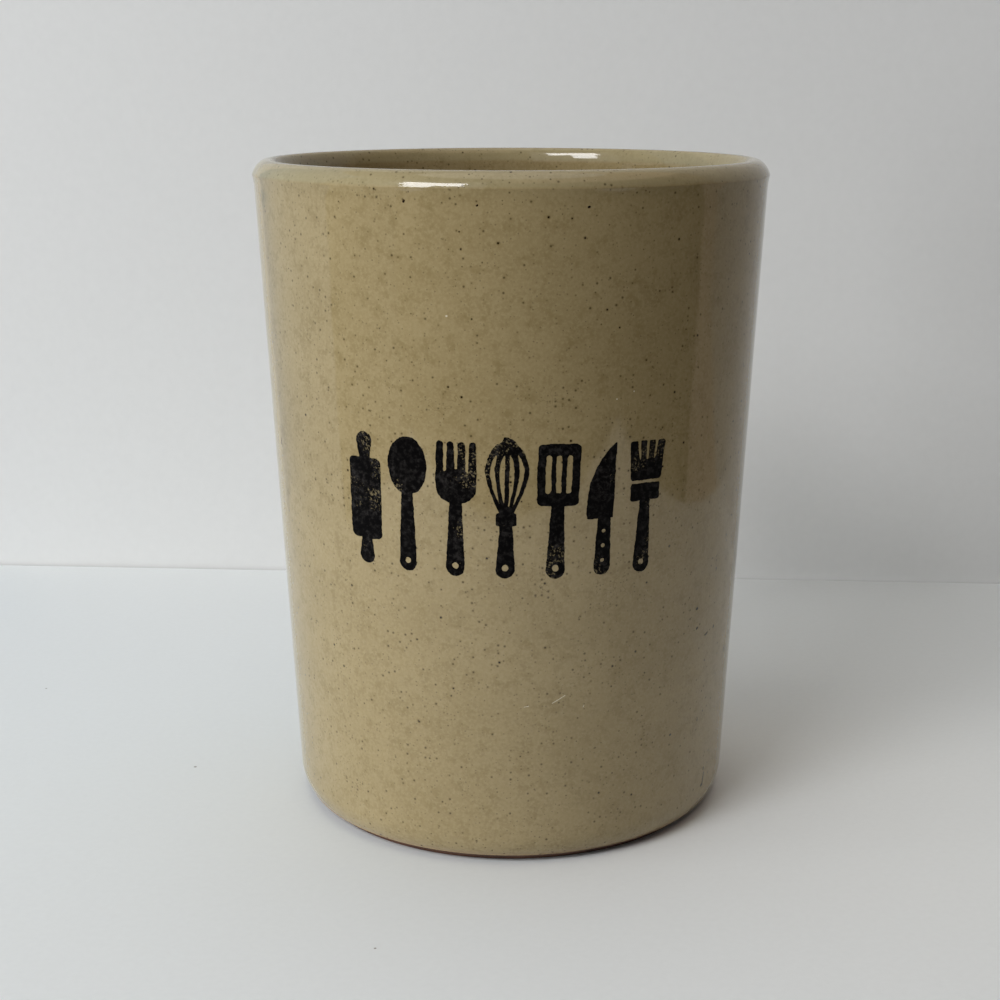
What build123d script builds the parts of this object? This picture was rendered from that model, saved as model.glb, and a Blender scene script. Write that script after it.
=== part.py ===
from build123d import *
from math import asin, atan, atan2, cos, pi, radians, sin, sqrt
import os

# Utensil crock: a tapered stoneware pot with a rounded, slightly proud lip and a bare
# clay foot. It is fired as three layers: the clay body, a glaze on the outside and a
# liner glaze on the inside, which meet on the crest of the lip.
# Millimetres, +Z up, origin on the table at the middle of the foot.

# Outside of the glazed pot
height = 160.0                # table to the crest of the lip
mouth_diameter = 124.0        # outside wall line carried up to the crest
foot_line_diameter = 109.0    # outside wall line carried down to the table
foot_corner_radius = 10.5     # round between the wall and the foot
foot_cut = 2.2                # how much of that round the flat of the foot takes off

# Wall, floor and lip, glaze included
wall_at_mouth = 6.0
wall_at_foot = 7.0            # the wall thickens towards the table
floor_thickness = 8.0
floor_corner_radius = 12.0    # inside, between floor and wall
lip_inside_radius = 1.5       # tight round just inside the crest
lip_throat_radius = 7.0       # gentle curve from that round down into the inside wall
lip_throat_lean = 35.0        # degrees between the wall and the slope where the two meet
lip_nose_drop = 3.1           # crest of the lip down to the middle of its nose
lip_nose_radius = 0.6         # tight outer edge under the crown of the lip
lip_proud = 0.3               # how far the nose stands out past the wall line
lip_cove_radius = 9.0         # hollow that leads the wall out to the nose

# Glaze coats
glaze_thickness = 0.4         # both coats
glaze_lift = 1.4              # the outer coat stops this far above the table

# Underside
foot_ring_width = 6.5         # flat ring that the pot stands on
recess_depth = 1.6            # the middle of the underside stands clear of the table
recess_slope_width = 2.5      # run of the slope from the ring up into the recess
foot_edge_chamfer = 0.4       # worn outer edge of the bare foot

# Worked out from the sizes above
mouth_radius = mouth_diameter / 2
foot_line_radius = foot_line_diameter / 2
outer_slope = (mouth_radius - foot_line_radius) / height
inner_mouth_radius = mouth_radius - wall_at_mouth
inner_foot_radius = foot_line_radius - wall_at_foot
inner_slope = (inner_mouth_radius - inner_foot_radius) / height
outer_draft = atan(outer_slope)
inner_draft = atan(inner_slope)


def outer_wall(z):
    """Radius of the outside wall line at a height."""
    return foot_line_radius + outer_slope * z


def inner_wall(z):
    """Radius of the inside wall line at a height."""
    return inner_foot_radius + inner_slope * z


# The lip is four arcs over one crest: a tight round inside that opens into a gentle
# throat, and outside it a wide crown that slopes down to a tight nose.
inside_height = height - lip_inside_radius
throat_lean = radians(lip_throat_lean)
throat_reach = lip_throat_radius - lip_inside_radius
throat_height = inside_height - throat_reach * sin(throat_lean)
throat_centre = (inner_wall(throat_height) + lip_throat_radius / cos(inner_draft), throat_height)
crest_radius = throat_centre[0] - throat_reach * cos(throat_lean)
inside_centre = (crest_radius, inside_height)
nose_height = height - lip_nose_drop
nose_centre = (outer_wall(nose_height) + (lip_proud - lip_nose_radius) / cos(outer_draft), nose_height)
crown_run = nose_centre[0] - crest_radius
crown_radius = (crown_run**2 + lip_nose_drop**2 - lip_nose_radius**2) / (2 * (lip_nose_drop - lip_nose_radius))
crown_centre = (crest_radius, height - crown_radius)
crown_end = atan2(nose_height - crown_centre[1], crown_run)
foot_centre_height = foot_corner_radius - foot_cut
foot_centre = (outer_wall(foot_centre_height) - foot_corner_radius / cos(outer_draft), foot_centre_height)
floor_centre_height = floor_thickness + floor_corner_radius
floor_centre = (inner_wall(floor_centre_height) - floor_corner_radius / cos(inner_draft), floor_centre_height)


def on_circle(centre, radius, angle):
    """Point on a circle in the profile plane, the angle in radians from outwards."""
    return (centre[0] + radius * cos(angle), centre[1] + radius * sin(angle))


def arc(centre, radius, start, end):
    """Arc in the profile plane between two angles in radians."""
    points = [on_circle(centre, radius, angle) for angle in (start, (start + end) / 2, end)]
    return ThreePointArc(*points)


def outer_edges(inset, bottom):
    """Outside profile set in by a coat, from a height near the foot up to the crest."""
    corner = foot_corner_radius - inset
    start = -asin((foot_centre[1] - bottom) / corner)
    wall_start = on_circle(foot_centre, corner, -outer_draft)

    # The cove lies outside the wall line, touching both the line and the nose.
    reach = lip_cove_radius + lip_nose_radius
    along = sqrt(2 * lip_proud * reach - lip_proud**2)
    outward = reach - lip_proud
    cove_centre = (
        nose_centre[0] + outward * cos(outer_draft) - along * sin(outer_draft),
        nose_centre[1] - outward * sin(outer_draft) - along * cos(outer_draft),
    )
    cove = lip_cove_radius + inset
    to_cove = atan2(cove_centre[1] - nose_centre[1], cove_centre[0] - nose_centre[0])
    return [
        arc(foot_centre, corner, start, -outer_draft),
        Line(wall_start, on_circle(cove_centre, cove, pi - outer_draft)),
        arc(cove_centre, cove, pi - outer_draft, pi + to_cove),
        arc(nose_centre, lip_nose_radius - inset, to_cove, crown_end),
        arc(crown_centre, crown_radius - inset, crown_end, pi / 2),
    ]


def inner_edges(inset):
    """Inside profile set in by a coat, from the crest down to the middle of the floor."""
    throat = lip_throat_radius - inset
    corner = floor_corner_radius + inset
    corner_end = on_circle(floor_centre, corner, -inner_draft)
    floor_end = on_circle(floor_centre, corner, -pi / 2)
    return [
        arc(inside_centre, lip_inside_radius - inset, pi / 2, pi - throat_lean),
        arc(throat_centre, throat, pi - throat_lean, pi - inner_draft),
        Line(on_circle(throat_centre, throat, pi - inner_draft), corner_end),
        arc(floor_centre, corner, -inner_draft, -pi / 2),
        Line(floor_end, (0, floor_end[1])),
    ]


def joined(*points):
    """Straight profile edges through a few points."""
    return [Line(a, b) for a, b in zip(points, points[1:])]


def turned(edges):
    """Solid of revolution about the pot's axis from a closed profile."""
    return revolve(Plane.XZ * make_face(edges), Axis.Z)


def stoneware_body():
    """Clay body: wall, floor, lip core, foot ring and the recess under the floor."""
    outside = outer_edges(glaze_thickness, foot_edge_chamfer)
    inside = inner_edges(glaze_thickness)
    foot_edge = outside[0] @ 0
    floor_middle = inside[-1] @ 1
    ring_outside = foot_edge.X - foot_edge_chamfer
    ring_inside = ring_outside - foot_ring_width
    underside = joined(
        (floor_middle.X, floor_middle.Y),
        (0, recess_depth),
        (ring_inside - recess_slope_width, recess_depth),
        (ring_inside, 0),
        (ring_outside, 0),
        (foot_edge.X, foot_edge.Y),
    )
    return turned(outside + inside + underside)


def outer_glaze():
    """Outside glaze, from just above the table up to the crest of the lip."""
    face_side = outer_edges(0, glaze_lift)
    clay_side = outer_edges(glaze_thickness, glaze_lift)
    lower_edge = Line(clay_side[0] @ 0, face_side[0] @ 0)
    crest = Line(clay_side[-1] @ 1, face_side[-1] @ 1)
    return turned(face_side + clay_side + [lower_edge, crest])


def inner_glaze():
    """Liner glaze, from the crest of the lip down over the wall and the floor."""
    face_side = inner_edges(0)
    clay_side = inner_edges(glaze_thickness)
    crest = Line(clay_side[0] @ 0, face_side[0] @ 0)
    middle = Line(clay_side[-1] @ 1, face_side[-1] @ 1)
    return turned(face_side + clay_side + [crest, middle])


os.makedirs("parts", exist_ok=True)
export_step(stoneware_body(), "parts/stoneware_body.step")
export_step(outer_glaze(), "parts/outer_glaze.step")
export_step(inner_glaze(), "parts/inner_glaze.step")

print("crown of the lip", round(crown_radius, 2), "mm, its crest at a radius of", round(crest_radius, 2), "mm")
print("inside floor flat", round(2 * floor_centre[0], 1), "mm across")
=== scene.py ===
from math import asin, atan, atan2, cos, pi, radians, sin, sqrt, tan

import bmesh
import bpy
import numpy as np
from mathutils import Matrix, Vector, noise


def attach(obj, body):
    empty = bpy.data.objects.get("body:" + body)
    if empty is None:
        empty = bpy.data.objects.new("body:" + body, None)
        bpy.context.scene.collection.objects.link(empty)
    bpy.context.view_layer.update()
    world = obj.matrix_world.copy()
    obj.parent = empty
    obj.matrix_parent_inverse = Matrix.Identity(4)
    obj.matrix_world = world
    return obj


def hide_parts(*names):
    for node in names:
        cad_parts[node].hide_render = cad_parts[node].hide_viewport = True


# A glazed stoneware utensil crock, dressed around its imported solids.
# Lengths in the dictionaries are millimetres unless a note says otherwise.

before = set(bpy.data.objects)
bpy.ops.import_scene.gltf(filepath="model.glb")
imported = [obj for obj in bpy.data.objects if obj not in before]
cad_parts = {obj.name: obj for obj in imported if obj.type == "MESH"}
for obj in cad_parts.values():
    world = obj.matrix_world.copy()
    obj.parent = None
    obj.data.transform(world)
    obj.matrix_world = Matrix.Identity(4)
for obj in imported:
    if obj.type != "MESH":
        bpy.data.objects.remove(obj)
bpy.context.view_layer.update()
mm = 0.001
sharpAngle = radians(40)      # edges sharper than this stay crisp


# Helpers

def hexColour(text):
    # sRGB hex to linear
    parts = [int(text[i:i + 2], 16) / 255 for i in (1, 3, 5)]
    linear = [c / 12.92 if c <= 0.04045 else ((c + 0.055) / 1.055) ** 2.4 for c in parts]
    return (*linear, 1.0)


def addNode(tree, kind, sockets=None, **settings):
    node = tree.nodes.new(kind)
    for name, value in settings.items():
        setattr(node, name, value)
    for name, value in (sockets or {}).items():
        if isinstance(value, bpy.types.NodeSocket):
            tree.links.new(value, node.inputs[name])
        else:
            node.inputs[name].default_value = value
    return node


def emptyMaterial(name):
    material = bpy.data.materials.new(name)
    material.use_nodes = True
    material.node_tree.nodes.clear()
    return material, material.node_tree


def layColour(tree, ground, shade, field, levels, most):
    # a shade over the ground, from nothing at the first level of the field to most at the second
    amount = addNode(tree, "ShaderNodeMapRange", {
        "Value": field, "From Min": levels[0], "From Max": levels[1], "To Max": most,
    })
    mixed = addNode(tree, "ShaderNodeMix", {
        "Factor": amount.outputs[0], "A": ground, "B": hexColour(shade),
    }, data_type="RGBA")
    return mixed.outputs["Result"]


def surfaceFields(tree, patterns):
    # "place" is the object's own coordinates in millimetres; each pattern is a soft random field
    coordinates = addNode(tree, "ShaderNodeTexCoord")
    place = addNode(tree, "ShaderNodeVectorMath", {
        0: coordinates.outputs["Object"], "Scale": 1 / mm,
    }, operation="SCALE").outputs[0]
    fields = {"place": place}
    for name, pattern in patterns.items():
        field = addNode(tree, "ShaderNodeTexNoise", {
            "Vector": place, "Scale": 1 / pattern["size"],
            "Detail": pattern["detail"], "Roughness": pattern["roughness"],
        })
        fields[name] = field.outputs[0]
    return fields


def plainObject(name, points, faces, material):
    mesh = bpy.data.meshes.new(name)
    mesh.from_pydata([(x * mm, y * mm, z * mm) for x, y, z in points], [], faces)
    mesh.materials.append(material)
    item = bpy.data.objects.new(name, mesh)
    bpy.context.scene.collection.objects.link(item)
    return item


def smoothObject(name, points, faces, material):
    item = plainObject(name, points, faces, material)
    mesh = item.data
    work = bmesh.new()
    work.from_mesh(mesh)
    bmesh.ops.recalc_face_normals(work, faces=work.faces)
    work.to_mesh(mesh)
    work.free()
    mesh.polygons.foreach_set("use_smooth", [True] * len(mesh.polygons))
    mesh.set_sharp_from_angle(angle=sharpAngle)
    return item


# Profile of the pot

pot = {
    "height": 160.0,
    "mouthRadius": 62.0,      # outside wall line at the crest
    "footRadius": 54.5,       # outside wall line at the table
    "footRound": 10.5,        # corner between wall and foot
    "footCut": 2.2,           # taken off that round by the flat of the foot
    "mouthWall": 6.0,
    "footWall": 7.0,
    "floor": 8.0,
    "floorRound": 12.0,
    "lipInside": 1.5,         # tight round just inside the crest
    "throat": 7.0,            # gentle curve from there down into the inside wall
    "throatLean": radians(35),
    # the glaze has sagged: its nose is tighter than the solid's and 0.5 mm lower, and the
    # crown above it is flatter up to "crownTurn", which makes the highlight on it tall
    "noseDrop": 3.6,          # crest down to the tight outer edge of the lip
    "nose": 0.45,
    "noseProud": 0.28,
    "crownStart": radians(16),
    "crownTurn": radians(50),
    "cove": 16.0,             # hollow between nose and wall
    "coat": 0.4,              # thickness of either glaze
    "glazeLift": 2.3,         # bare clay below this height
    "skin": 0.02,             # the outer face is set in by this, to stay in the solid's box
    "crestStep": radians(0.4),  # turn from the crest to the points beside it
    "around": 480,            # columns of the turned meshes
    "hiddenDetail": 0.3,      # hidden faces get this share of the points below
}
# points along each stretch of the profile
profilePoints = {
    "foot": 28, "wall": 72, "cove": 12, "nose": 12, "lowCrown": 36, "topCrown": 28,
    "lipInside": 24, "throat": 26, "insideWall": 90, "floorRound": 22, "floor": 18,
    "glazeEdge": 9, "footEdge": 6, "footRing": 12, "recessSlope": 14, "recess": 20,
}
outerSlope = (pot["mouthRadius"] - pot["footRadius"]) / pot["height"]
innerMouth = pot["mouthRadius"] - pot["mouthWall"]
innerFoot = pot["footRadius"] - pot["footWall"]
innerSlope = (innerMouth - innerFoot) / pot["height"]
outerDraft = atan(outerSlope)
innerDraft = atan(innerSlope)

# inside of the lip
insideHeight = pot["height"] - pot["lipInside"]
throatReach = pot["throat"] - pot["lipInside"]
throatHeight = insideHeight - throatReach * sin(pot["throatLean"])
throatCentre = (innerFoot + innerSlope * throatHeight + pot["throat"] / cos(innerDraft), throatHeight)
crestRadius = throatCentre[0] - throatReach * cos(pot["throatLean"])
insideCentre = (crestRadius, insideHeight)

# outside of the lip: the nose, then two arcs that touch it, each other and the level crest
noseHeight = pot["height"] - pot["noseDrop"]
noseOut = (pot["noseProud"] - pot["nose"]) / cos(outerDraft)
noseCentre = (pot["footRadius"] + outerSlope * noseHeight + noseOut, noseHeight)
crownStart = pot["crownStart"]
crownTurn = pot["crownTurn"]
crownRun = noseCentre[0] + pot["nose"] * cos(crownStart) - crestRadius
crownRise = pot["noseDrop"] - pot["nose"] * sin(crownStart)
lowSpan = (cos(crownStart) - cos(crownTurn), sin(crownTurn) - sin(crownStart))
topSpan = (cos(crownTurn), 1 - sin(crownTurn))
spanCross = lowSpan[1] * topSpan[0] - lowSpan[0] * topSpan[1]
lowCrown = (crownRise * topSpan[0] - crownRun * topSpan[1]) / spanCross
topCrown = (crownRun * lowSpan[1] - crownRise * lowSpan[0]) / spanCross
lowCentre = (
    noseCentre[0] - (lowCrown - pot["nose"]) * cos(crownStart),
    noseCentre[1] - (lowCrown - pot["nose"]) * sin(crownStart),
)
topCentre = (crestRadius, pot["height"] - topCrown)

# rounds of the foot and the floor
footHeight = pot["footRound"] - pot["footCut"]
footCentre = (pot["footRadius"] + outerSlope * footHeight - pot["footRound"] / cos(outerDraft), footHeight)
floorHeight = pot["floor"] + pot["floorRound"]
floorCentre = (innerFoot + innerSlope * floorHeight - pot["floorRound"] / cos(innerDraft), floorHeight)


def pointCount(stretch, detail=1.0):
    return max(3, int(profilePoints[stretch] * detail))


def arcPoints(centre, radius, angles):
    return [(centre[0] + radius * cos(a), centre[1] + radius * sin(a)) for a in angles]


def linePoints(start, end, count):
    return [tuple(p) for p in np.linspace(start, end, count)]


def outerProfile(inset, bottom, detail=1.0):
    # foot round, wall, cove, nose and crown of the lip, from the foot up to the crest
    corner = pot["footRound"] - inset
    footStart = -asin((footCentre[1] - bottom) / corner)
    reach = pot["cove"] + pot["nose"]
    along = sqrt(2 * pot["noseProud"] * reach - pot["noseProud"] ** 2)
    outward = reach - pot["noseProud"]
    coveCentre = (
        noseCentre[0] + outward * cos(outerDraft) - along * sin(outerDraft),
        noseCentre[1] - outward * sin(outerDraft) - along * cos(outerDraft),
    )
    toCove = atan2(coveCentre[1] - noseCentre[1], coveCentre[0] - noseCentre[0])
    arcs = {
        "foot": (footCentre, corner, footStart, -outerDraft),
        "cove": (coveCentre, pot["cove"] + inset, pi - outerDraft, pi + toCove),
        "nose": (noseCentre, pot["nose"] - inset, toCove, crownStart),
        "lowCrown": (lowCentre, lowCrown - inset, crownStart, crownTurn),
        "topCrown": (topCentre, topCrown - inset, crownTurn, pi / 2 - pot["crestStep"]),
    }
    footArc, coveArc, *lipArcs = (
        arcPoints(centre, radius, np.linspace(start, end, pointCount(stretch, detail)))
        for stretch, (centre, radius, start, end) in arcs.items()
    )
    profile = footArc + linePoints(footArc[-1], coveArc[0], pointCount("wall", detail))[1:]
    for arc in (coveArc, *lipArcs):
        profile += arc[1:]
    return profile + arcPoints(topCentre, topCrown - inset, [pi / 2])


def innerProfile(inset, detail=1.0):
    # inner half of the lip, wall, floor round and floor, from the crest down to the axis
    lipEnd = pi - pot["throatLean"]
    lipAngles = np.linspace(pi / 2 + pot["crestStep"], lipEnd, pointCount("lipInside", detail))
    lip = arcPoints(insideCentre, pot["lipInside"] - inset, [pi / 2, *lipAngles])
    throatAngles = np.linspace(lipEnd, pi - innerDraft, pointCount("throat", detail))
    lip += arcPoints(throatCentre, pot["throat"] - inset, throatAngles)[1:]
    floorAngles = np.linspace(-innerDraft, -pi / 2, pointCount("floorRound", detail))
    curve = arcPoints(floorCentre, pot["floorRound"] + inset, floorAngles)
    wall = linePoints(lip[-1], curve[0], pointCount("insideWall", detail))
    base = linePoints(curve[-1], (0, curve[-1][1]), pointCount("floor", detail))
    return lip + wall[1:] + curve[1:] + base[1:]


# Hollows in the faces of the coats

ripple = {
    "outside": 0.10,          # deepest hollow in the outer glaze
    "inside": 0.34,
    "wavelength": 26.0,
    "upright": 0.7,           # soft hollows come this much as often upwards as around
    "fine": 2.7,              # fine ones come this much as often as those, around and upwards
    "fineUpright": 1.9,
    "softShare": 0.45,        # how much each counts
    "fineShare": 0.2,
    "rings": 8.5,             # spacing of the turning rings left inside
    "ringShare": 0.2,
    "ringSway": 2.2,          # radians by which the soft hollows bend the rings
    "ringRest": 0.6,          # what the rings leave of the other hollows
    "quietOutside": 7.0,      # ripples die out over this distance below the crest
    "quietInside": 2.4,
}
# a shallow groove low on the crown splits the highlight
groove = {"depth": 0.005, "height": 157.05, "width": 0.2, "wander": 0.12, "wanderLength": 9.0}


def rippleDepth(x, y, z, side):
    # the glaze lies a little lower in soft hollows; numbers added in a Vector only move the noise
    s = 1 / ripple["wavelength"]
    soft = noise.noise(Vector((x * s + 3.7, y * s, z * s * ripple["upright"])))
    f = s * ripple["fine"]
    fine = noise.noise(Vector((x * f, y * f + 9.1, z * s * ripple["fineUpright"])))
    level = 0.5 + ripple["softShare"] * soft + ripple["fineShare"] * fine
    if side == "Inside":
        rings = sin(2 * pi * z / ripple["rings"] + ripple["ringSway"] * soft)
        level = 0.5 + ripple["ringRest"] * (level - 0.5) + ripple["ringShare"] * rings
    fade = min(1.0, max(0.0, (pot["height"] - z) / ripple["quiet" + side]))
    depth = ripple[side.lower()] * min(max(level, 0.0), 1.0) * fade * fade * (3 - 2 * fade)
    if side == "Outside":
        w = groove["wanderLength"]
        middle = groove["height"] + groove["wander"] * noise.noise(Vector((x / w, y / w, 2.0)))
        away = (z - middle) / groove["width"]
        if abs(away) < 1:
            depth += groove["depth"] * (0.5 + 0.5 * cos(pi * away))
        depth += pot["skin"]
    return depth


def turned(name, profile, sides, material, closed=False):
    # surface of revolution; an open profile starts and ends on the axis
    count = pot["around"]
    turns = [2 * pi * k / count for k in range(count)]
    points, rows = [], []
    for (radius, z), side in zip(profile, sides):
        if radius < 1e-6:
            # on the axis one point serves the whole row
            rows.append([len(points)] * count)
            points.append((0, 0, z))
            continue
        rows.append(range(len(points), len(points) + count))
        for a in turns:
            x, y = cos(a), sin(a)
            r = radius
            if side == "Outside":
                r -= rippleDepth(radius * x, radius * y, z, side)
            elif side == "Inside":
                r += rippleDepth(radius * x, radius * y, z, side)
            points.append((r * x, r * y, z))
    pairs = list(zip(rows, rows[1:]))
    if closed:
        pairs.append((rows[-1], rows[0]))
    faces = []
    for low, high in pairs:
        for k in range(count):
            m = (k + 1) % count
            ring = [low[k], low[m], high[m], high[k]]
            faces.append(list(dict.fromkeys(ring)))
    return smoothObject(name, points, faces, material)


# Glaze: a felspathic stoneware glaze over an iron-bearing clay, dipped and fired glossy.
# Iron grains bleed through it as dark specks, and it clouds where it is thick.

glaze = {
    "khaki": "#988761",
    "pale": "#9F8E68",        # where the glaze is thick and cloudy
    "olive": "#8B7A54",       # where it is thin
    "bright": "#AA9B75",      # grains of it that stayed whitish
    # painted light on the upward-facing lip
    "lip": "#9F9B7B",
    "halo": "#72603B",        # iron bled out round the grains
    "speck": "#2A1C0B",
    "blush": "#A68A77",       # pinkish line where the coat ends at the foot
    "roughness": 0.045,
    "cloudRoughness": 0.04,   # added where it is cloudy, between these levels
    "cloudLevels": (0.3, 0.7),
    "ior": 1.53,
    "patterns": {
        "clouds": {"size": 15.0, "detail": 3.0, "roughness": 0.5},
        "mottle": {"size": 3.2, "detail": 3.0, "roughness": 0.6},
        "grain": {"size": 0.8, "detail": 3.0, "roughness": 0.65},
        "drift": {"size": 12.0, "detail": 2.0, "roughness": 0.5},
        "trails": {"size": 2.4, "detail": 1.0, "roughness": 0.5},
        "waves": {"size": 9.0, "detail": 2.0, "roughness": 0.4},
    },
    # shades of the ground: the pattern's levels at which each starts and is full, and its most
    "ground": [
        ("clouds", "pale", (0.35, 0.65), 0.8),
        ("mottle", "olive", (0.48, 0.72), 0.80),
        ("grain", "olive", (0.50, 0.74), 0.36),
        ("grain", "bright", (0.50, 0.28), 0.42),
    ],
    "paintedLipLightHeights": (156.4, 157.0),
    "paintedLipLightMost": 0.35,
    "blushHeights": (3.6, 1.8),
    "blushMost": 0.35,
    "scattered": 0.80,        # share of the grains' size where the drift is low
    "gathered": (0.32, 0.62),  # levels of the drift from there to the full size
    "haloSpread": 1.7,        # radius of a halo as a share of its grain's
    "threadLevels": (0.014, 0.003),  # off the middle level of the trails: start and full
    "threadMost": 0.45,
    "threadDrift": (0.61, 0.68),  # levels of the drift between which they come out
    "waveStrength": 0.5,
    "waveHeight": 0.05,
    "speckStrength": 0.3,
    "speckHeight": 0.02,
}
# Iron grains. cell: their spacing; radius: the largest; share: how many cells have one;
# speck and halo: how strongly the grain and the brown bled out round it show
specks = [
    {"cell": 0.8, "radius": 0.25, "share": 0.50, "speck": 0.34, "halo": 0.0},
    {"cell": 1.4, "radius": 0.33, "share": 0.52, "speck": 0.62, "halo": 0.20},
    {"cell": 2.6, "radius": 0.34, "share": 0.42, "speck": 1.0, "halo": 0.35},
]
speckShape = {
    "largest": 0.4,           # share of the grains that have the largest radius
    "core": 0.5,              # share of the radius that is solid, inside the soft rim
    "leastRim": 1e-4,         # keeps the rim open where there is no grain
}


def speckMask(tree, place, size, crowd, spread, most):
    # round grains, each cell with its own radius; crowd is noise that gathers them
    cells = addNode(tree, "ShaderNodeTexVoronoi", {"Vector": place, "Scale": 1 / size["cell"]})
    pick = addNode(tree, "ShaderNodeSeparateColor", {"Color": cells.outputs["Color"]})
    drawn = addNode(tree, "ShaderNodeMath", {0: pick.outputs["Red"], 1: crowd}, operation="MULTIPLY")
    radius = addNode(tree, "ShaderNodeMapRange", {
        "Value": drawn.outputs[0],
        "From Min": 1 - size["share"], "From Max": 1 - speckShape["largest"] * size["share"],
        "To Min": 0.0, "To Max": spread * size["radius"] / size["cell"],
    })
    core = addNode(tree, "ShaderNodeMath", {
        0: radius.outputs[0], 1: speckShape["core"],
    }, operation="MULTIPLY")
    rim = addNode(tree, "ShaderNodeMath", {
        0: radius.outputs[0], 1: speckShape["leastRim"],
    }, operation="ADD")
    return addNode(tree, "ShaderNodeMapRange", {
        "Value": cells.outputs["Distance"], "From Min": rim.outputs[0], "From Max": core.outputs[0],
        "To Min": 0.0, "To Max": most,
    }).outputs[0]


def glazeMaterial(name, look):
    material, tree = emptyMaterial(name)
    fields = surfaceFields(tree, look["patterns"])
    height = addNode(tree, "ShaderNodeSeparateXYZ", {0: fields["place"]}).outputs["Z"]

    # a quiet ground: wide clouds, a soft mottle and a fine grain, all within a few levels
    colour = hexColour(look["khaki"])
    for pattern, shade, levels, most in look["ground"]:
        colour = layColour(tree, colour, look[shade], fields[pattern], levels, most)

    # painted light: a paler, greener shade laid over the upward-facing lip, for the light it catches
    colour = layColour(tree, colour, look["lip"], height, look["paintedLipLightHeights"], look["paintedLipLightMost"])

    # iron grains gathered in drifts, each with a soft brown halo
    gathered = look["gathered"]
    crowd = addNode(tree, "ShaderNodeMapRange", {
        "Value": fields["drift"], "From Min": gathered[0], "From Max": gathered[1],
        "To Min": look["scattered"], "To Max": 1.0,
    })
    for shade, spread in (("halo", look["haloSpread"]), ("speck", 1.0)):
        mask = 0.0
        for size in specks:
            if size[shade]:
                dots = speckMask(tree, fields["place"], size, crowd.outputs[0], spread, size[shade])
                mask = addNode(tree, "ShaderNodeMath", {0: mask, 1: dots}, operation="MAXIMUM").outputs[0]
        colour = addNode(tree, "ShaderNodeMix", {
            "Factor": mask, "A": colour, "B": hexColour(look[shade]),
        }, data_type="RGBA").outputs["Result"]

    # fine brown threads where grains ran together, along the middle level of a pattern
    off = addNode(tree, "ShaderNodeMath", {0: fields["trails"], 1: 0.5}, operation="SUBTRACT")
    off = addNode(tree, "ShaderNodeMath", {0: off.outputs[0]}, operation="ABSOLUTE")
    thread = addNode(tree, "ShaderNodeMapRange", {
        "Value": off.outputs[0], "To Max": look["threadMost"],
        "From Min": look["threadLevels"][0], "From Max": look["threadLevels"][1],
    })
    where = addNode(tree, "ShaderNodeMapRange", {
        "Value": fields["drift"], "From Min": look["threadDrift"][0], "From Max": look["threadDrift"][1],
    })
    shown = addNode(tree, "ShaderNodeMath", {
        0: thread.outputs[0], 1: where.outputs[0],
    }, operation="MULTIPLY")
    colour = addNode(tree, "ShaderNodeMix", {
        "Factor": shown.outputs[0], "A": colour, "B": hexColour(look["halo"]),
    }, data_type="RGBA").outputs["Result"]

    # a pinkish band laid just above the bare foot
    colour = layColour(tree, colour, look["blush"], height, look["blushHeights"], look["blushMost"])

    # long ripples bend the reflections, and grains stand up as tiny bumps
    bump = addNode(tree, "ShaderNodeBump", {
        "Height": fields["waves"], "Strength": look["waveStrength"], "Distance": look["waveHeight"] * mm,
    })
    bump = addNode(tree, "ShaderNodeBump", {
        "Height": mask, "Strength": look["speckStrength"], "Distance": look["speckHeight"] * mm,
        "Normal": bump.outputs[0],
    })
    rough = addNode(tree, "ShaderNodeMapRange", {
        "Value": fields["clouds"], "From Min": look["cloudLevels"][0], "From Max": look["cloudLevels"][1],
        "To Min": look["roughness"], "To Max": look["roughness"] + look["cloudRoughness"],
    })
    surface = addNode(tree, "ShaderNodeBsdfPrincipled", {
        "Base Color": colour, "Roughness": rough.outputs[0],
        "Normal": bump.outputs[0], "IOR": look["ior"],
    })
    addNode(tree, "ShaderNodeOutputMaterial", {"Surface": surface.outputs[0]})
    return material


# Bare fired stoneware: the foot is wiped clean of glaze, so it is dry, sandy and a little soiled. Its
# colours are painted darker than a buff body, as painted shade for the dark line under the foot.

clay = {
    # painted shade: these browns are darkened to stand in for the shade in the gap under the foot
    "brown": "#5E4032",
    "dark": "#2A1A14",
    "sand": "#7C5E4B",
    "roughness": 0.86,
    "patterns": {
        "grain": {"size": 0.5, "detail": 4.0, "roughness": 0.5},
        "soil": {"size": 9.0, "detail": 3.0, "roughness": 0.5},
    },
    "ground": [
        ("soil", "dark", (0.45, 0.75), 0.8),
        ("grain", "sand", (0.56, 0.72), 0.7),
    ],
    "grainStrength": 0.8,
    "grainHeight": 0.08,
}


def clayMaterial(name, look):
    material, tree = emptyMaterial(name)
    fields = surfaceFields(tree, look["patterns"])
    colour = hexColour(look["brown"])
    for pattern, shade, levels, most in look["ground"]:
        colour = layColour(tree, colour, look[shade], fields[pattern], levels, most)
    bump = addNode(tree, "ShaderNodeBump", {
        "Height": fields["grain"], "Strength": look["grainStrength"], "Distance": look["grainHeight"] * mm,
    })
    surface = addNode(tree, "ShaderNodeBsdfPrincipled", {
        "Base Color": colour, "Roughness": look["roughness"], "Normal": bump.outputs[0],
    })
    addNode(tree, "ShaderNodeOutputMaterial", {"Surface": surface.outputs[0]})
    return material


# Ceramic ink: a black stain screened on the glaze and fired, dull beside it. It is worn to
# grey in patches, with flecks of khaki showing through where grains of it have gone.

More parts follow.
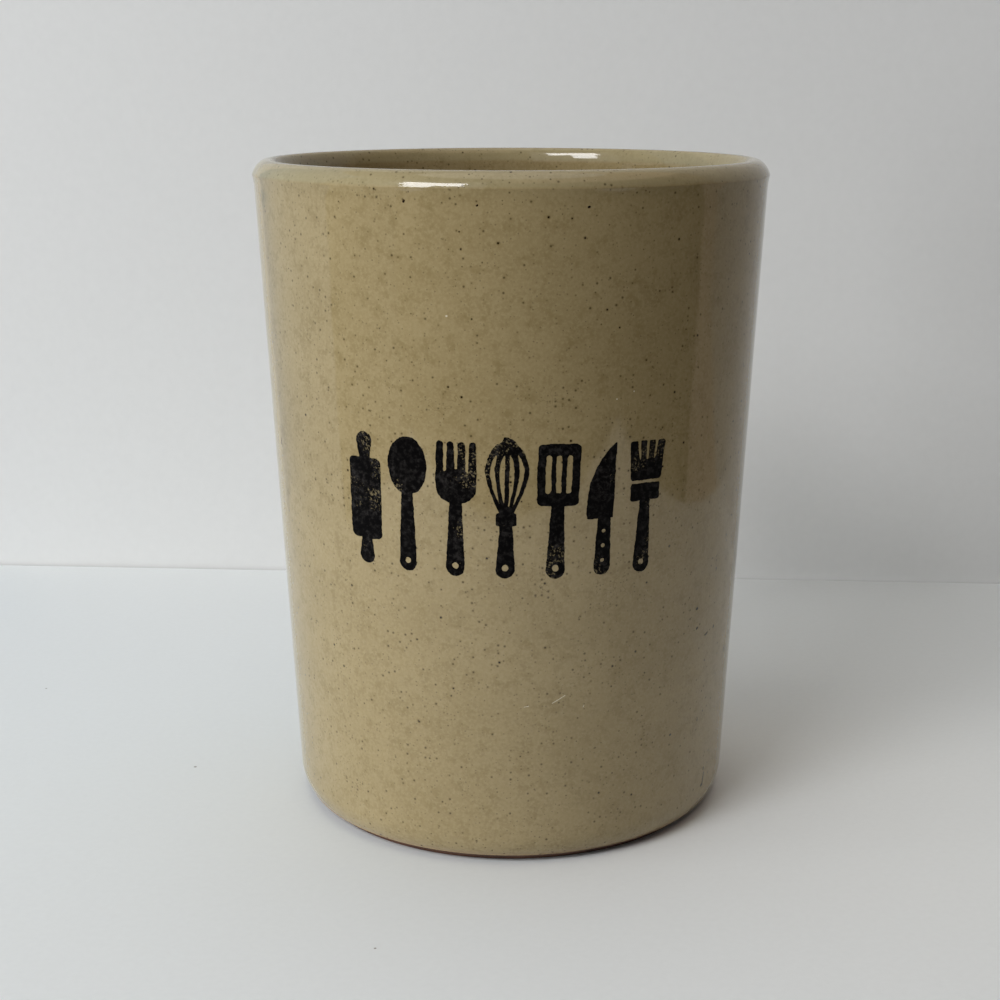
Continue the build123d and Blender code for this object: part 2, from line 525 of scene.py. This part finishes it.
ink = {
    "black": "#050404",
    "grey": "#383533",
    "through": "#7A6E52",
    "roughness": 0.42,
    "ior": 1.14,
    "patterns": {
        "mottle": {"size": 1.2, "detail": 5.0, "roughness": 0.7},
        "zones": {"size": 12.0, "detail": 2.0, "roughness": 0.5},
        "wear": {"size": 0.5, "detail": 3.0, "roughness": 0.6},
    },
    "zoneLevels": (0.40, 0.60),
    "zoneLeast": 0.45,        # wear outside the worn zones, as a share
    "wornLevels": (0.48, 0.72),
    "fleckLevels": (0.54, 0.62),
    "fleckMost": 0.75,
    "mottleStrength": 0.4,
    "mottleHeight": 0.03,
}


def inkMaterial(name, look):
    material, tree = emptyMaterial(name)
    fields = surfaceFields(tree, look["patterns"])
    zone = addNode(tree, "ShaderNodeMapRange", {
        "Value": fields["zones"], "To Min": look["zoneLeast"],
        "From Min": look["zoneLevels"][0], "From Max": look["zoneLevels"][1],
    })
    worn = addNode(tree, "ShaderNodeMapRange", {
        "Value": fields["mottle"], "From Min": look["wornLevels"][0], "From Max": look["wornLevels"][1],
    })
    worn = addNode(tree, "ShaderNodeMath", {0: worn.outputs[0], 1: zone.outputs[0]}, operation="MULTIPLY")
    colour = addNode(tree, "ShaderNodeMix", {
        "Factor": worn.outputs[0], "A": hexColour(look["black"]), "B": hexColour(look["grey"]),
    }, data_type="RGBA").outputs["Result"]
    lost = addNode(tree, "ShaderNodeMath", {0: fields["wear"], 1: zone.outputs[0]}, operation="MULTIPLY")
    colour = layColour(
        tree, colour, look["through"], lost.outputs[0], look["fleckLevels"], look["fleckMost"],
    )
    bump = addNode(tree, "ShaderNodeBump", {
        "Height": fields["mottle"], "Strength": look["mottleStrength"],
        "Distance": look["mottleHeight"] * mm,
    })
    surface = addNode(tree, "ShaderNodeBsdfPrincipled", {
        "Base Color": colour, "Roughness": look["roughness"],
        "Normal": bump.outputs[0], "IOR": look["ior"],
    })
    addNode(tree, "ShaderNodeOutputMaterial", {"Surface": surface.outputs[0]})
    return material


# Pot

print("pot: clay body and both glazes")
outerGlazeMaterial = glazeMaterial("stonewareGlazeOutside", glaze)
innerGlazeMaterial = glazeMaterial("stonewareGlazeInside", glaze)


def outerCoat():
    face = outerProfile(0, pot["glazeLift"])
    back = outerProfile(pot["coat"], pot["glazeLift"], pot["hiddenDetail"])[::-1]
    # the lower edge is rolled, as melted glaze leaves it
    middle = ((face[0][0] + back[-1][0]) / 2, pot["glazeLift"])
    half = (face[0][0] - back[-1][0]) / 2
    roll = arcPoints(middle, half, np.linspace(pi, 2 * pi, pointCount("glazeEdge")))[1:-1]
    sides = ["Outside"] * len(face) + [None] * (len(back) + len(roll))
    return turned("outerGlazeCoat", face + back + roll, sides, outerGlazeMaterial, closed=True)


def innerCoat():
    face = innerProfile(0)
    back = innerProfile(pot["coat"], pot["hiddenDetail"])
    sides = ["Inside"] * len(face) + [None] * len(back)
    return turned("innerGlazeCoat", face[::-1] + back, sides, innerGlazeMaterial)


foot = {
    "ringWidth": 6.5,
    "recess": 1.6,
    "slope": 2.5,
    "edge": 0.4,              # worn outer edge
    "gap": 0.02,              # hidden play between clay and glaze
}


def clayBody():
    inset = pot["coat"] + foot["gap"]
    inside = innerProfile(inset, pot["hiddenDetail"])[::-1]
    outside = outerProfile(inset, foot["edge"], pot["hiddenDetail"])[::-1]
    ringOut = outside[-1][0] - foot["edge"]
    ringIn = ringOut - foot["ringWidth"]
    edgeAngles = np.linspace(0, -pi / 2, pointCount("footEdge"))
    edge = arcPoints((ringOut, foot["edge"]), foot["edge"], edgeAngles)[1:]
    flat = linePoints((ringOut, 0), (ringIn, 0), pointCount("footRing"))[1:]
    # the recess is scooped with a soft slope
    steps = np.linspace(0, 1, pointCount("recessSlope"))[1:]
    slope = [(ringIn - foot["slope"] * t, foot["recess"] * (3 * t * t - 2 * t ** 3)) for t in steps]
    under = linePoints(slope[-1], (0, foot["recess"]), pointCount("recess"))[1:]
    profile = inside + outside[1:] + edge + flat + slope + under
    return turned("stonewareBody", profile, [None] * len(profile), clayMaterial("firedStonewarePaintedShade", clay))


body = clayBody()
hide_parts("stoneware_body")
outer = outerCoat()
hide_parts("outer_glaze")
inner = innerCoat()
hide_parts("inner_glaze")
for piece in (body, outer, inner):
    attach(piece, "root")


# Print: a row of plain kitchen tools

printed = {
    "middle": 86.8,           # height of its centre
    "turn": -1.4,             # degrees round the pot from the front
    "tilt": -1.3,             # degrees: it was laid on slightly askew
    "space": 2.0,             # between one tool and the next
    "halfWidth": 38.0,
    "halfHeight": 17.0,
    "grid": 0.2,
    "ragged": 0.14,           # how far the ink's edge wanders
}
# thin films on the glaze: the print and the flaws
film = {
    "lift": 0.03,             # face above the glaze
    "depth": 0.06,            # back below it
    "coarse": 1.7,            # lengths of the two waves in its outline
    "fine": 0.6,
    "fineShare": 0.9,         # height of the fine ones beside the coarse ones'
}


# Shapes for drawing, each a field that is negative inside it

def bar(x, y, start, end, radius, endRadius=None):
    # distance to a round-ended bar that may taper
    dx, dy = end[0] - start[0], end[1] - start[1]
    t = np.clip(((x - start[0]) * dx + (y - start[1]) * dy) / (dx * dx + dy * dy), 0, 1)
    width = radius + ((radius if endRadius is None else endRadius) - radius) * t
    return np.hypot(x - start[0] - t * dx, y - start[1] - t * dy) - width


def oval(x, y, centre, halfWidth, halfHeight):
    reach = np.hypot((x - centre[0]) / halfWidth, (y - centre[1]) / halfHeight)
    return (reach - 1) * min(halfWidth, halfHeight)


def block(x, y, centre, halfWidth, halfHeight, corner):
    dx = np.abs(x - centre[0]) - halfWidth + corner
    dy = np.abs(y - centre[1]) - halfHeight + corner
    outside = np.hypot(np.maximum(dx, 0), np.maximum(dy, 0))
    return outside + np.minimum(np.maximum(dx, dy), 0) - corner


def together(*shapes):
    return np.minimum.reduce(shapes)


def cutOut(shape, *holes):
    return np.maximum.reduce([shape, *(-hole for hole in holes)])


# The tools. Levels are from the middle of the row, and "top" is where a handle ends. Pairs are
# half a width and half a height, or the radii at the start and the end of a bar.
toolSizes = {
    "handle": {"end": -13.3, "radius": 2.15, "topRadius": 1.35, "hole": 0.75, "holeLevel": -13.0},
    "rollingPin": {
        "width": 8.6, "barrel": (4.3, 9.4), "corner": 1.5, "knobLevels": (9.0, 13.3), "knob": (1.3, 2.1),
    },
    "spoon": {"width": 9.4, "top": 4.0, "bowlLevel": 8.9, "bowl": (4.7, 6.6)},
    "fork": {
        "width": 9.2, "top": 3.0, "rootLevel": 5.2, "root": (4.6, 4.0), "shoulderLevel": 6.4,
        "shoulder": (4.6, 1.5), "corner": 0.8, "tines": (-3.65, -1.22, 1.22, 3.65),
        "tineLevels": (7.0, 14.6), "tine": (0.95, 0.8),
    },
    "whisk": {
        "width": 9.2, "top": -3.0, "collarLevel": -1.8, "collar": (2.3, 1.5), "corner": 0.5,
        "loopLevel": 7.0, "loops": (4.5, 2.3), "loopHeight": 8.2, "wire": 0.55,
        "middleWire": 0.5, "middleTop": 15.1, "neck": 0.45, "neckLevel": -1.5, "neckHeight": 11.0,
    },
    "turner": {
        "width": 9.4, "top": 3.0, "bladeLevel": 8.4, "blade": (4.7, 7.0), "corner": 1.1,
        "slots": (-2.3, 0.0, 2.3), "slotLevels": (4.8, 12.2), "slot": 0.62,
    },
    "knife": {
        "width": 7.6, "spine": 2.5, "heel": -1.9, "edgeCentre": (8.0, 1.0), "edgeStretch": 0.74,
        "edge": 11.9, "gripSide": 0.4, "gripLevels": (-13.1, -2.6), "grip": (2.0, 1.6),
        "rivets": (-4.8, -8.2, -11.6), "rivet": 0.45,
    },
    "brush": {
        "width": 9.4, "top": 2.0, "bandLevel": 3.4, "band": (3.9, 2.0), "bandCorner": 0.5,
        "hairLevel": 10.6, "hair": (4.7, 4.5), "hairCorner": 0.7, "hairFoot": 0.86,
        "splayFrom": 6.0, "splayHeight": 9.0, "partings": (-2.4, 0.0, 2.4),
        "partingLevels": (11.0, 15.6), "parting": (0.2, 0.42), "partingFoot": 0.8,
    },
}


def handle(x, y, top):
    # tapered wooden handle with a hanging hole
    size = toolSizes["handle"]
    stick = bar(x, y, (0, size["end"]), (0, top), size["radius"], size["topRadius"])
    return cutOut(stick, np.hypot(x, y - size["holeLevel"]) - size["hole"])


def rollingPin(x, y, size):
    low, high = size["knobLevels"]
    barrel = block(x, y, (0, 0), *size["barrel"], size["corner"])
    ends = [bar(x, y, (0, low * side), (0, high * side), *size["knob"]) for side in (-1, 1)]
    return together(barrel, *ends)


def spoon(x, y, size):
    return together(handle(x, y, size["top"]), oval(x, y, (0, size["bowlLevel"]), *size["bowl"]))


def fork(x, y, size):
    root = oval(x, y, (0, size["rootLevel"]), *size["root"])
    shoulder = block(x, y, (0, size["shoulderLevel"]), *size["shoulder"], size["corner"])
    low, high = size["tineLevels"]
    tines = [bar(x, y, (offset, low), (offset, high), *size["tine"]) for offset in size["tines"]]
    return together(handle(x, y, size["top"]), root, shoulder, *tines)


def whisk(x, y, size):
    # wire loops that narrow towards the neck
    rise = np.clip((y - size["neckLevel"]) / size["neckHeight"], 0, 1)
    narrow = size["neck"] + (1 - size["neck"]) * rise
    loops = [
        np.abs(oval(x / narrow, y, (0, size["loopLevel"]), reach, size["loopHeight"])) - size["wire"]
        for reach in size["loops"]
    ]
    collar = block(x, y, (0, size["collarLevel"]), *size["collar"], size["corner"])
    middle = bar(x, y, (0, 0), (0, size["middleTop"]), size["middleWire"])
    return together(handle(x, y, size["top"]), collar, middle, *loops)


def turner(x, y, size):
    blade = block(x, y, (0, size["bladeLevel"]), *size["blade"], size["corner"])
    low, high = size["slotLevels"]
    slots = [bar(x, y, (offset, low), (offset, high), size["slot"]) for offset in size["slots"]]
    return together(handle(x, y, size["top"]), cutOut(blade, *slots))


def knife(x, y, size):
    # broad blade with an oval edge to the left, and a riveted handle
    edgeX, edgeY = size["edgeCentre"]
    edge = np.hypot(x - edgeX, size["edgeStretch"] * (y - edgeY)) - size["edge"]
    blade = np.maximum.reduce([x - size["spine"], size["heel"] - y, edge])
    side = size["gripSide"]
    low, high = size["gripLevels"]
    grip = bar(x, y, (side, low), (side, high), *size["grip"])
    rivets = [np.hypot(x - side, y - level) - size["rivet"] for level in size["rivets"]]
    return together(blade, cutOut(grip, *rivets))


def brush(x, y, size):
    band = block(x, y, (0, size["bandLevel"]), *size["band"], size["bandCorner"])
    rise = np.clip((y - size["splayFrom"]) / size["splayHeight"], 0, 1)
    splay = size["hairFoot"] + (1 - size["hairFoot"]) * rise
    hair = block(x / splay, y, (0, size["hairLevel"]), *size["hair"], size["hairCorner"])
    low, high = size["partingLevels"]
    partings = [
        bar(x, y, (offset * size["partingFoot"], low), (offset, high), *size["parting"])
        for offset in size["partings"]
    ]
    return together(handle(x, y, size["top"]), band, cutOut(hair, *partings))


toolRow = {
    "rollingPin": rollingPin, "spoon": spoon, "fork": fork, "whisk": whisk, "turner": turner,
    "knife": knife, "brush": brush,
}


def toolField(x, y):
    widths = [toolSizes[name]["width"] for name in toolRow]
    left = -(sum(widths) + printed["space"] * (len(widths) - 1)) / 2
    shapes = []
    for name, draw in toolRow.items():
        size = toolSizes[name]
        shapes.append(draw(x - left - size["width"] / 2, y, size))
        left += size["width"] + printed["space"]
    return together(*shapes)


def wallPoint(place, u, v, lift):
    # point on the glazed wall, from a place (degrees from the front, height) and a way along
    # and up from it, lifted off the surface
    lean = radians(place.get("tilt", 0.0))
    u, v = u * cos(lean) - v * sin(lean), u * sin(lean) + v * cos(lean)
    z = place["middle"] + v * cos(outerDraft)
    middleRadius = pot["footRadius"] + outerSlope * place["middle"]
    angle = u / middleRadius + radians(place["turn"] - 90)
    radius = pot["footRadius"] + outerSlope * z
    radius += lift - rippleDepth(radius * cos(angle), radius * sin(angle), z, "Outside")
    return (radius * cos(angle), radius * sin(angle), z)


def filmMesh(place, field, halfWidth, halfHeight, step, ragged):
    # points and faces of a thin closed film on the wall, wherever the field is below zero
    xs = np.arange(-halfWidth, halfWidth + step, step)
    ys = np.arange(-halfHeight, halfHeight + step, step)
    gridX, gridY = np.meshgrid(xs, ys, indexing="ij")
    level = field(gridX, gridY)
    # the outline wanders; away from it nothing changes
    wide, small = film["coarse"], film["fine"]
    for i, x in enumerate(xs):
        for j, y in enumerate(ys):
            if abs(level[i, j]) < 4 * ragged + step:
                coarse = noise.noise(Vector((x / wide, y / wide, 5.0 + place["turn"])))
                fine = noise.noise(Vector((x / small, y / small, 11.0)))
                level[i, j] += ragged * (coarse + film["fineShare"] * fine)
    spots, index, faces = [], {}, []

    def corner(i, j):
        if (i, j) not in index:
            index[i, j] = len(spots)
            spots.append((xs[i], ys[j]))
        return index[i, j]

    def crossing(a, b):
        key = tuple(sorted((a, b)))
        if key not in index:
            (i, j), (m, n) = key
            t = level[i, j] / (level[i, j] - level[m, n])
            index[key] = len(spots)
            spots.append((xs[i] + t * (xs[m] - xs[i]), ys[j] + t * (ys[n] - ys[j])))
        return index[key]

    for i in range(len(xs) - 1):
        for j in range(len(ys) - 1):
            square = [(i, j), (i + 1, j), (i + 1, j + 1), (i, j + 1)]
            inside = [level[c] < 0 for c in square]
            if not any(inside):
                continue
            face = []
            for k in range(4):
                m = (k + 1) % 4
                if inside[k]:
                    face.append(corner(*square[k]))
                if inside[k] != inside[m]:
                    face.append(crossing(square[k], square[m]))
            if len(face) > 2:
                faces.append(face)

    total = len(spots)
    front = [wallPoint(place, u, v, film["lift"]) for u, v in spots]
    back = [wallPoint(place, u, v, -film["depth"]) for u, v in spots]
    sides = {(a, b) for face in faces for a, b in zip(face, face[1:] + face[:1])}
    rims = [(b, a, a + total, b + total) for a, b in sides if (b, a) not in sides]
    backs = [[k + total for k in reversed(face)] for face in faces]
    return front + back, faces + backs + sorted(rims)


print("print: row of tools in black ink")
tools = smoothObject("printedTools", *filmMesh(
    printed, toolField, printed["halfWidth"], printed["halfHeight"], printed["grid"], printed["ragged"],
), inkMaterial("blackCeramicInk", ink))
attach(tools, "root")


# Flaws in the glaze. Iron grains burst through it as dark spots and one brown run by the foot; a scratch
# shows pale, and pale dots on pinholes are painted glints.
# start and end are a way along and up from the place.

flaws = {
    "grid": 0.07,
    "ragged": 0.07,
    "border": 1.2,
    "iron": [
        {"turn": 50.0, "middle": 57.5, "start": (-0.1, 0), "end": (0.15, 0.05), "radius": 0.30},
        {"turn": 50.6, "middle": 52.5, "start": (-0.1, -0.1), "end": (0.1, 0.1), "radius": 0.24},
        {"turn": 55.4, "middle": 49.9, "start": (-0.4, -0.2), "end": (0.4, 0.2), "radius": 0.20},
        {"turn": 58.9, "middle": 50.6, "start": (0, -0.2), "end": (0.2, 0.3), "radius": 0.16},
        {"turn": 69.0, "middle": 41.9, "start": (-0.2, -0.7), "end": (0.1, 0.6), "radius": 0.22},
        {"turn": 73.5, "middle": 44.8, "start": (0, -0.5), "end": (0, 0.4), "radius": 0.15},
        {"turn": 53.8, "middle": 28.3, "start": (0, -0.5), "end": (0.05, 0.4), "radius": 0.13},
        {"turn": 42.6, "middle": 27.5, "start": (0, 0), "end": (0.1, 0.1), "radius": 0.20},
        {"turn": 59.6, "middle": 13.2, "start": (0, -0.2), "end": (0.1, 0.2), "radius": 0.22},
        {"turn": 59.9, "middle": 10.4, "start": (0.1, 1.6), "end": (-0.3, -1.6), "radius": 0.17},
        {"turn": 59.2, "middle": 8.9, "start": (-0.15, -0.1), "end": (0.1, 0.1), "radius": 0.30},
        {"turn": -68.7, "middle": 94.8, "start": (0, -0.9), "end": (0.3, 0.6), "radius": 0.13},
        {"turn": -21.4, "middle": 153.6, "start": (0, 0), "end": (0.1, 0.2), "radius": 0.27},
        {"turn": 15.2, "middle": 152.6, "start": (0, 0), "end": (0.2, 0.05), "radius": 0.25},
        {"turn": -6.6, "middle": 153.0, "start": (0, 0), "end": (0.1, 0.1), "radius": 0.20},
    ],
    "pale": [
        # painted highlights: these three pale dots stand in for glints of light on pinholes
        {"turn": -13.1, "middle": 129.8, "start": (0, 0), "end": (0.1, 0), "radius": 0.17},
        {"turn": 26.6, "middle": 112.6, "start": (0, 0), "end": (0.05, 0.05), "radius": 0.15},
        {"turn": 22.6, "middle": 111.2, "start": (0, 0), "end": (0.05, 0), "radius": 0.13},
        # a real scratch and two flecks beside it
        {"turn": 11.1, "middle": 42.0, "start": (-1.5, -0.85), "end": (1.4, 0.85), "radius": 0.08},
        {"turn": 3.5, "middle": 40.6, "start": (-0.5, -0.1), "end": (0.6, 0.1), "radius": 0.06},
        {"turn": 17.1, "middle": 39.9, "start": (-0.1, -0.3), "end": (0.1, 0.3), "radius": 0.06},
    ],
}
flawLooks = {
    "iron": {"colour": "#2A1C0E", "roughness": 0.25},
    # pale: painted glints on pinholes, and the scratch
    "pale": {"colour": "#CAC1A8", "roughness": 0.5},
}


def flawMaterial(name, look):
    # one even colour: each flaw is smaller than any pattern in it
    material, tree = emptyMaterial(name)
    surface = addNode(tree, "ShaderNodeBsdfPrincipled", {
        "Base Color": hexColour(look["colour"]), "Roughness": look["roughness"],
    })
    addNode(tree, "ShaderNodeOutputMaterial", {"Surface": surface.outputs[0]})
    return material


def flawMesh(flaw):
    def field(x, y):
        return bar(x, y, flaw["start"], flaw["end"], flaw["radius"])

    reach = flaws["border"] + max(abs(v) for v in (*flaw["start"], *flaw["end"]))
    return filmMesh(flaw, field, reach, reach, flaws["grid"], flaws["ragged"])


print("flaws: iron spots, pinholes and a scratch")
for kind, pieceName, materialName in (
    ("iron", "ironSpots", "ironBleed"), ("pale", "paintedGlintsAndScratch", "paintedGlintAndScratchMark"),
):
    points, faces = [], []
    for flaw in flaws[kind]:
        more, moreFaces = flawMesh(flaw)
        faces += [[k + len(points) for k in face] for face in moreFaces]
        points += more
    item = smoothObject(pieceName, points, faces, flawMaterial(materialName, flawLooks[kind]))
    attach(item, "root")


# Stage: a pale board for a table, with a pale wall standing behind it

stageSize = {
    "left": -275.0,
    "right": 305.0,
    "front": -290.0,
    "wallGap": 181.5,         # axis to the wall
    "seam": 1.4,              # dark gap between the table and the wall
    "wallDrop": 30.0,         # the wall goes on below the table
    "wallYaw": -3.65,         # degrees
    "wallLeft": -205.0,
    "wallRight": 900.0,
    "wallHeight": 600.0,
}
# matt white board and painted wall; crumbs are the odd bit of grit lying on them
stageLook = {
    "table": {
        "colour": "#ECF1F2", "crumbs": 0.10,
        "patterns": {"grain": {"size": 1.6, "detail": 3.0, "roughness": 0.5}},
    },
    "wall": {
        "colour": "#DCDDDC", "crumbs": 0.0,
        "patterns": {"grain": {"size": 3.0, "detail": 3.0, "roughness": 0.5}},
    },
    "dim": 0.95,              # darkest part of the grain
    "roughness": 0.75,
    "crumbColour": "#6B6258",
    "crumbCell": 14.0,
    "crumbRadius": 0.5,
    "crumbMost": 0.8,
    "room": "#C4C4C2",        # what the other views show round the stage
}


def paintMaterial(name, look):
    # matt paint with a faint unevenness; seen from behind it lets light through
    material, tree = emptyMaterial(name)
    fields = surfaceFields(tree, look["patterns"])
    base = hexColour(look["colour"])
    dim = tuple(c * stageLook["dim"] for c in base[:3]) + (1.0,)
    colour = addNode(tree, "ShaderNodeMix", {
        "Factor": fields["grain"], "A": base, "B": dim,
    }, data_type="RGBA").outputs["Result"]
    if look["crumbs"]:
        grit = {"cell": stageLook["crumbCell"], "radius": stageLook["crumbRadius"], "share": look["crumbs"]}
        colour = addNode(tree, "ShaderNodeMix", {
            "Factor": speckMask(tree, fields["place"], grit, 1.0, 1.0, stageLook["crumbMost"]),
            "A": colour, "B": hexColour(stageLook["crumbColour"]),
        }, data_type="RGBA").outputs["Result"]
    surface = addNode(tree, "ShaderNodeBsdfPrincipled", {
        "Base Color": colour, "Roughness": stageLook["roughness"],
    })
    clear = addNode(tree, "ShaderNodeBsdfTransparent")
    side = addNode(tree, "ShaderNodeNewGeometry")
    mixed = addNode(tree, "ShaderNodeMixShader", {
        0: side.outputs["Backfacing"], 1: surface.outputs[0], 2: clear.outputs[0],
    })
    addNode(tree, "ShaderNodeOutputMaterial", {"Surface": mixed.outputs[0]})
    return material


def stageObject(name, points, faces, material):
    item = plainObject(name, points, faces, material)
    return item


print("stage: table, wall, panels and camera")


def wallPlace(x, y=0.0):
    # place on the line of the wall, or y in front of it
    return (x, stageSize["wallGap"] + tan(radians(stageSize["wallYaw"])) * x - y)


stageObject("table", [
    (stageSize["left"], stageSize["front"], 0), (stageSize["right"], stageSize["front"], 0),
    (*wallPlace(stageSize["right"], stageSize["seam"]), 0),
    (*wallPlace(stageSize["left"], stageSize["seam"]), 0),
], [(0, 1, 2, 3)], paintMaterial("paleTable", stageLook["table"]))
stageObject("wall", [
    (*wallPlace(stageSize["wallLeft"]), -stageSize["wallDrop"]),
    (*wallPlace(stageSize["wallRight"]), -stageSize["wallDrop"]),
    (*wallPlace(stageSize["wallRight"]), stageSize["wallHeight"]),
    (*wallPlace(stageSize["wallLeft"]), stageSize["wallHeight"]),
], [(0, 1, 2, 3)], paintMaterial("paleWall", stageLook["wall"]))


# Studio panels: soft lights and dim cards on spheres round the pot, hidden from the camera.
# Sides are degrees left of the front, heights are degrees above the table. Each panel stands
# a little farther off than the one before, so the first ones lie in front. One that isn't
# mirrored lights the pot without showing in its glaze.

panelStage = {"radius": 1500.0, "step": 12.0, "facet": 8.0}
panels = [
    {"name": "window", "sides": (22, 54), "heights": (39, 49), "glow": 12.9, "colour": "#FFFEFF"},
    {"name": "windowSill", "sides": (36, 50), "heights": (31, 39), "glow": 12.0, "colour": "#FCFDFF"},
    {"name": "windowRoom", "sides": (12, 62), "heights": (16, 56), "glow": 0.5, "colour": "#FFFFFF"},
    {"name": "leftStrip", "sides": (54, 88), "heights": (0, 16), "glow": 11.9, "colour": "#F9FCFF",
     "mirrored": False},
    {"name": "leftRoom", "sides": (62, 90), "heights": (16, 52), "glow": 0.25, "colour": "#FFFFFF"},
    {"name": "leftLow", "sides": (50, 86), "heights": (-25, 0), "glow": 0.10, "colour": "#CFE6FF"},
    {"name": "leftCard", "sides": (90, 150), "heights": (0, 52), "glow": 0.52, "colour": "#B4DAFB"},
    {"name": "leftCardLow", "sides": (86, 150), "heights": (-25, 0), "glow": 0.60, "colour": "#DCEAFA"},
    {"name": "frontLow", "sides": (-10, 50), "heights": (-25, 0), "glow": 0.02, "colour": "#FFFFFF"},
    {"name": "frontRoom", "sides": (-40, 62), "heights": (0, 52), "glow": 0.02, "colour": "#FFFFFF"},
    {"name": "frontDark", "sides": (-40, -10), "heights": (-25, 0), "glow": 0.02, "colour": "#FFFFFF"},
    {"name": "rightDark", "sides": (-91, -40), "heights": (-25, 52), "glow": 0.02, "colour": "#FFFFFF"},
    {"name": "rightCard", "sides": (-150, -91), "heights": (-25, 15), "glow": 0.30, "colour": "#FFE6D6"},
    {"name": "rightUpper", "sides": (-150, -91), "heights": (15, 52), "glow": 0.22, "colour": "#F6DED6"},
    {"name": "back", "sides": (150, 210), "heights": (-25, 52), "glow": 0.4, "colour": "#FFFFFF"},
    {"name": "ringLeft", "sides": (0, 180), "heights": (52, 70), "glow": 0.15, "colour": "#FCF6FF"},
    {"name": "ringRight", "sides": (-180, 0), "heights": (52, 70), "glow": 0.68, "colour": "#FFDFC2"},
    {"name": "ceiling", "sides": (-180, 180), "heights": (70, 90), "glow": 1.10, "colour": "#FFF8EF"},
]


def panelObject(panel, away):
    low, high = (radians(a) for a in panel["sides"])
    bottom, top = (radians(e) for e in panel["heights"])
    facet = radians(panelStage["facet"])
    across = max(2, round((high - low) / facet))
    up = max(2, round((top - bottom) / facet))
    points = [
        (-sin(a) * cos(e) * away, -cos(a) * cos(e) * away, sin(e) * away)
        for e in np.linspace(bottom, top, up + 1) for a in np.linspace(low, high, across + 1)
    ]
    faces = []
    for j in range(up):
        for i in range(across):
            k = j * (across + 1) + i
            faces.append((k, k + 1, k + across + 2, k + across + 1))
    material, tree = emptyMaterial(panel["name"] + "Glow")
    glow = addNode(tree, "ShaderNodeEmission", {
        "Color": hexColour(panel["colour"]), "Strength": panel["glow"],
    })
    addNode(tree, "ShaderNodeOutputMaterial", {"Surface": glow.outputs[0]})
    item = stageObject(panel["name"], points, faces, material)
    item.visible_camera = False
    item.visible_glossy = panel.get("mirrored", True)


for count, panel in enumerate(panels):
    panelObject(panel, panelStage["radius"] + count * panelStage["step"])

world = bpy.data.worlds.new("room")
world.use_nodes = True
world.node_tree.nodes.clear()
pale = addNode(world.node_tree, "ShaderNodeBackground", {
    "Color": hexColour(stageLook["room"]), "Strength": 1.0,
})
addNode(world.node_tree, "ShaderNodeOutputWorld", {"Surface": pale.outputs[0]})
bpy.context.scene.world = world


# Camera: placed from a perspective fit to the photograph's outlines

view = {
    "away": 406.8,
    "height": 178.4,
    "down": 14.32,            # degrees
    "focalPx": 1650.0,
    "axisPx": 10.97,
    "imagePx": 1000.0,
    "sensor": 36.0,
    "nearest": 10.0,          # nothing closer is seen
}
cameraData = bpy.data.cameras.new("camera")
cameraData.sensor_width = view["sensor"]
cameraData.sensor_fit = "HORIZONTAL"
cameraData.lens = view["sensor"] * view["focalPx"] / view["imagePx"]
cameraData.shift_x = -view["axisPx"] / view["imagePx"]
cameraData.clip_start = view["nearest"] * mm
camera = bpy.data.objects.new("camera", cameraData)
bpy.context.scene.collection.objects.link(camera)
camera.location = (0, -view["away"] * mm, view["height"] * mm)
camera.rotation_euler = (radians(90 - view["down"]), 0, 0)
bpy.context.scene.camera = camera
bpy.context.scene.view_settings.view_transform = "Standard"
